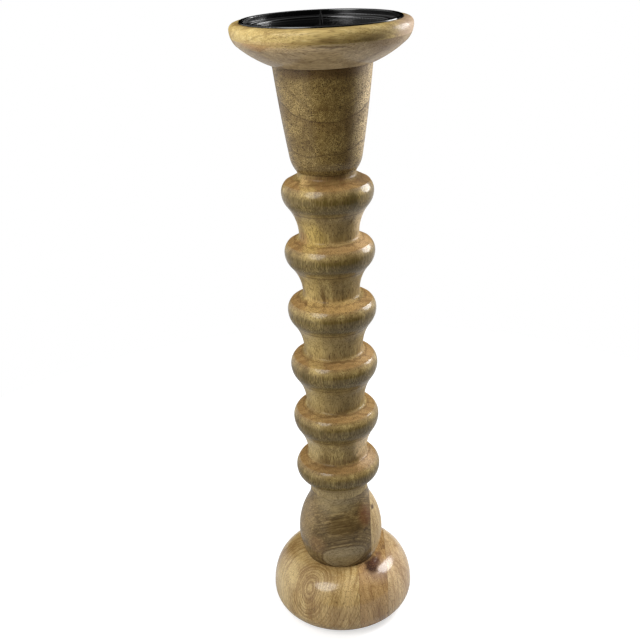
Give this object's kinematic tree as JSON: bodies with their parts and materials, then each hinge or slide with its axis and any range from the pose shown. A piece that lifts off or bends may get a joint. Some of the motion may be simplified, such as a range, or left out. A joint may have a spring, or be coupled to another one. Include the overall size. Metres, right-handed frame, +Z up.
{
  "type": "pricket candle stand",
  "caption": "Tall turned wooden pricket candle stand with a ringed spindle, domed base, ball, and a wide dish that holds a loose black pan with a short spike.",
  "frame": {"origin": "centre of the underside of the felt disc, on the surface the stand rests on", "axes": "+Z up along the turning axis, +X to the viewer's right in the picture, +Y away from the viewer"},
  "size_m": [0.13, 0.13, 0.5046],
  "materials": {
    "dish_upper_wood": "clear satin lacquer over turned wood",
    "dish_lower_wood": "clear satin lacquer over turned wood",
    "cup_wood": "clear satin lacquer over turned wood",
    "spindle_wood": "clear satin lacquer over turned wood",
    "ball_wood": "clear satin lacquer over turned wood",
    "ball_strip_wood": "clear satin lacquer over turned wood",
    "base_left_wood": "clear satin lacquer over turned wood",
    "base_middle_wood": "clear satin lacquer over turned wood",
    "base_right_wood": "clear satin lacquer over turned wood",
    "dowel_wood": "plain smooth hardwood",
    "black_enamel": "gloss black enamel",
    "zinc_steel": "zinc plated steel",
    "felt": "short dark green pile"
  },
  "bodies": {
    "stand": {"felt_pad": "felt", "base_left_board": "base_left_wood", "base_middle_board": "base_middle_wood", "base_right_board": "base_right_wood", "base_screw_front": "zinc_steel", "base_screw_back": "zinc_steel", "base_dowel": "dowel_wood", "ball_main_block": "ball_wood", "ball_side_strip": "ball_strip_wood", "spindle_dowel": "dowel_wood", "spindle": "spindle_wood", "cup_dowel": "dowel_wood", "cup": "cup_wood", "dish_dowel_left": "dowel_wood", "dish_dowel_right": "dowel_wood", "dish_screw": "zinc_steel", "dish_lower_board": "dish_lower_wood", "dish_upper_board": "dish_upper_wood"},
    "pan_set": {"pan": "black_enamel", "pricket": "black_enamel", "pricket_washer": "zinc_steel"}
  },
  "joints": [
    {"name": "pan_lift", "type": "slide", "parent": "stand", "child": "pan_set", "axis": [0, 0, 1], "range_m": [0, 0.03]}
  ]
}
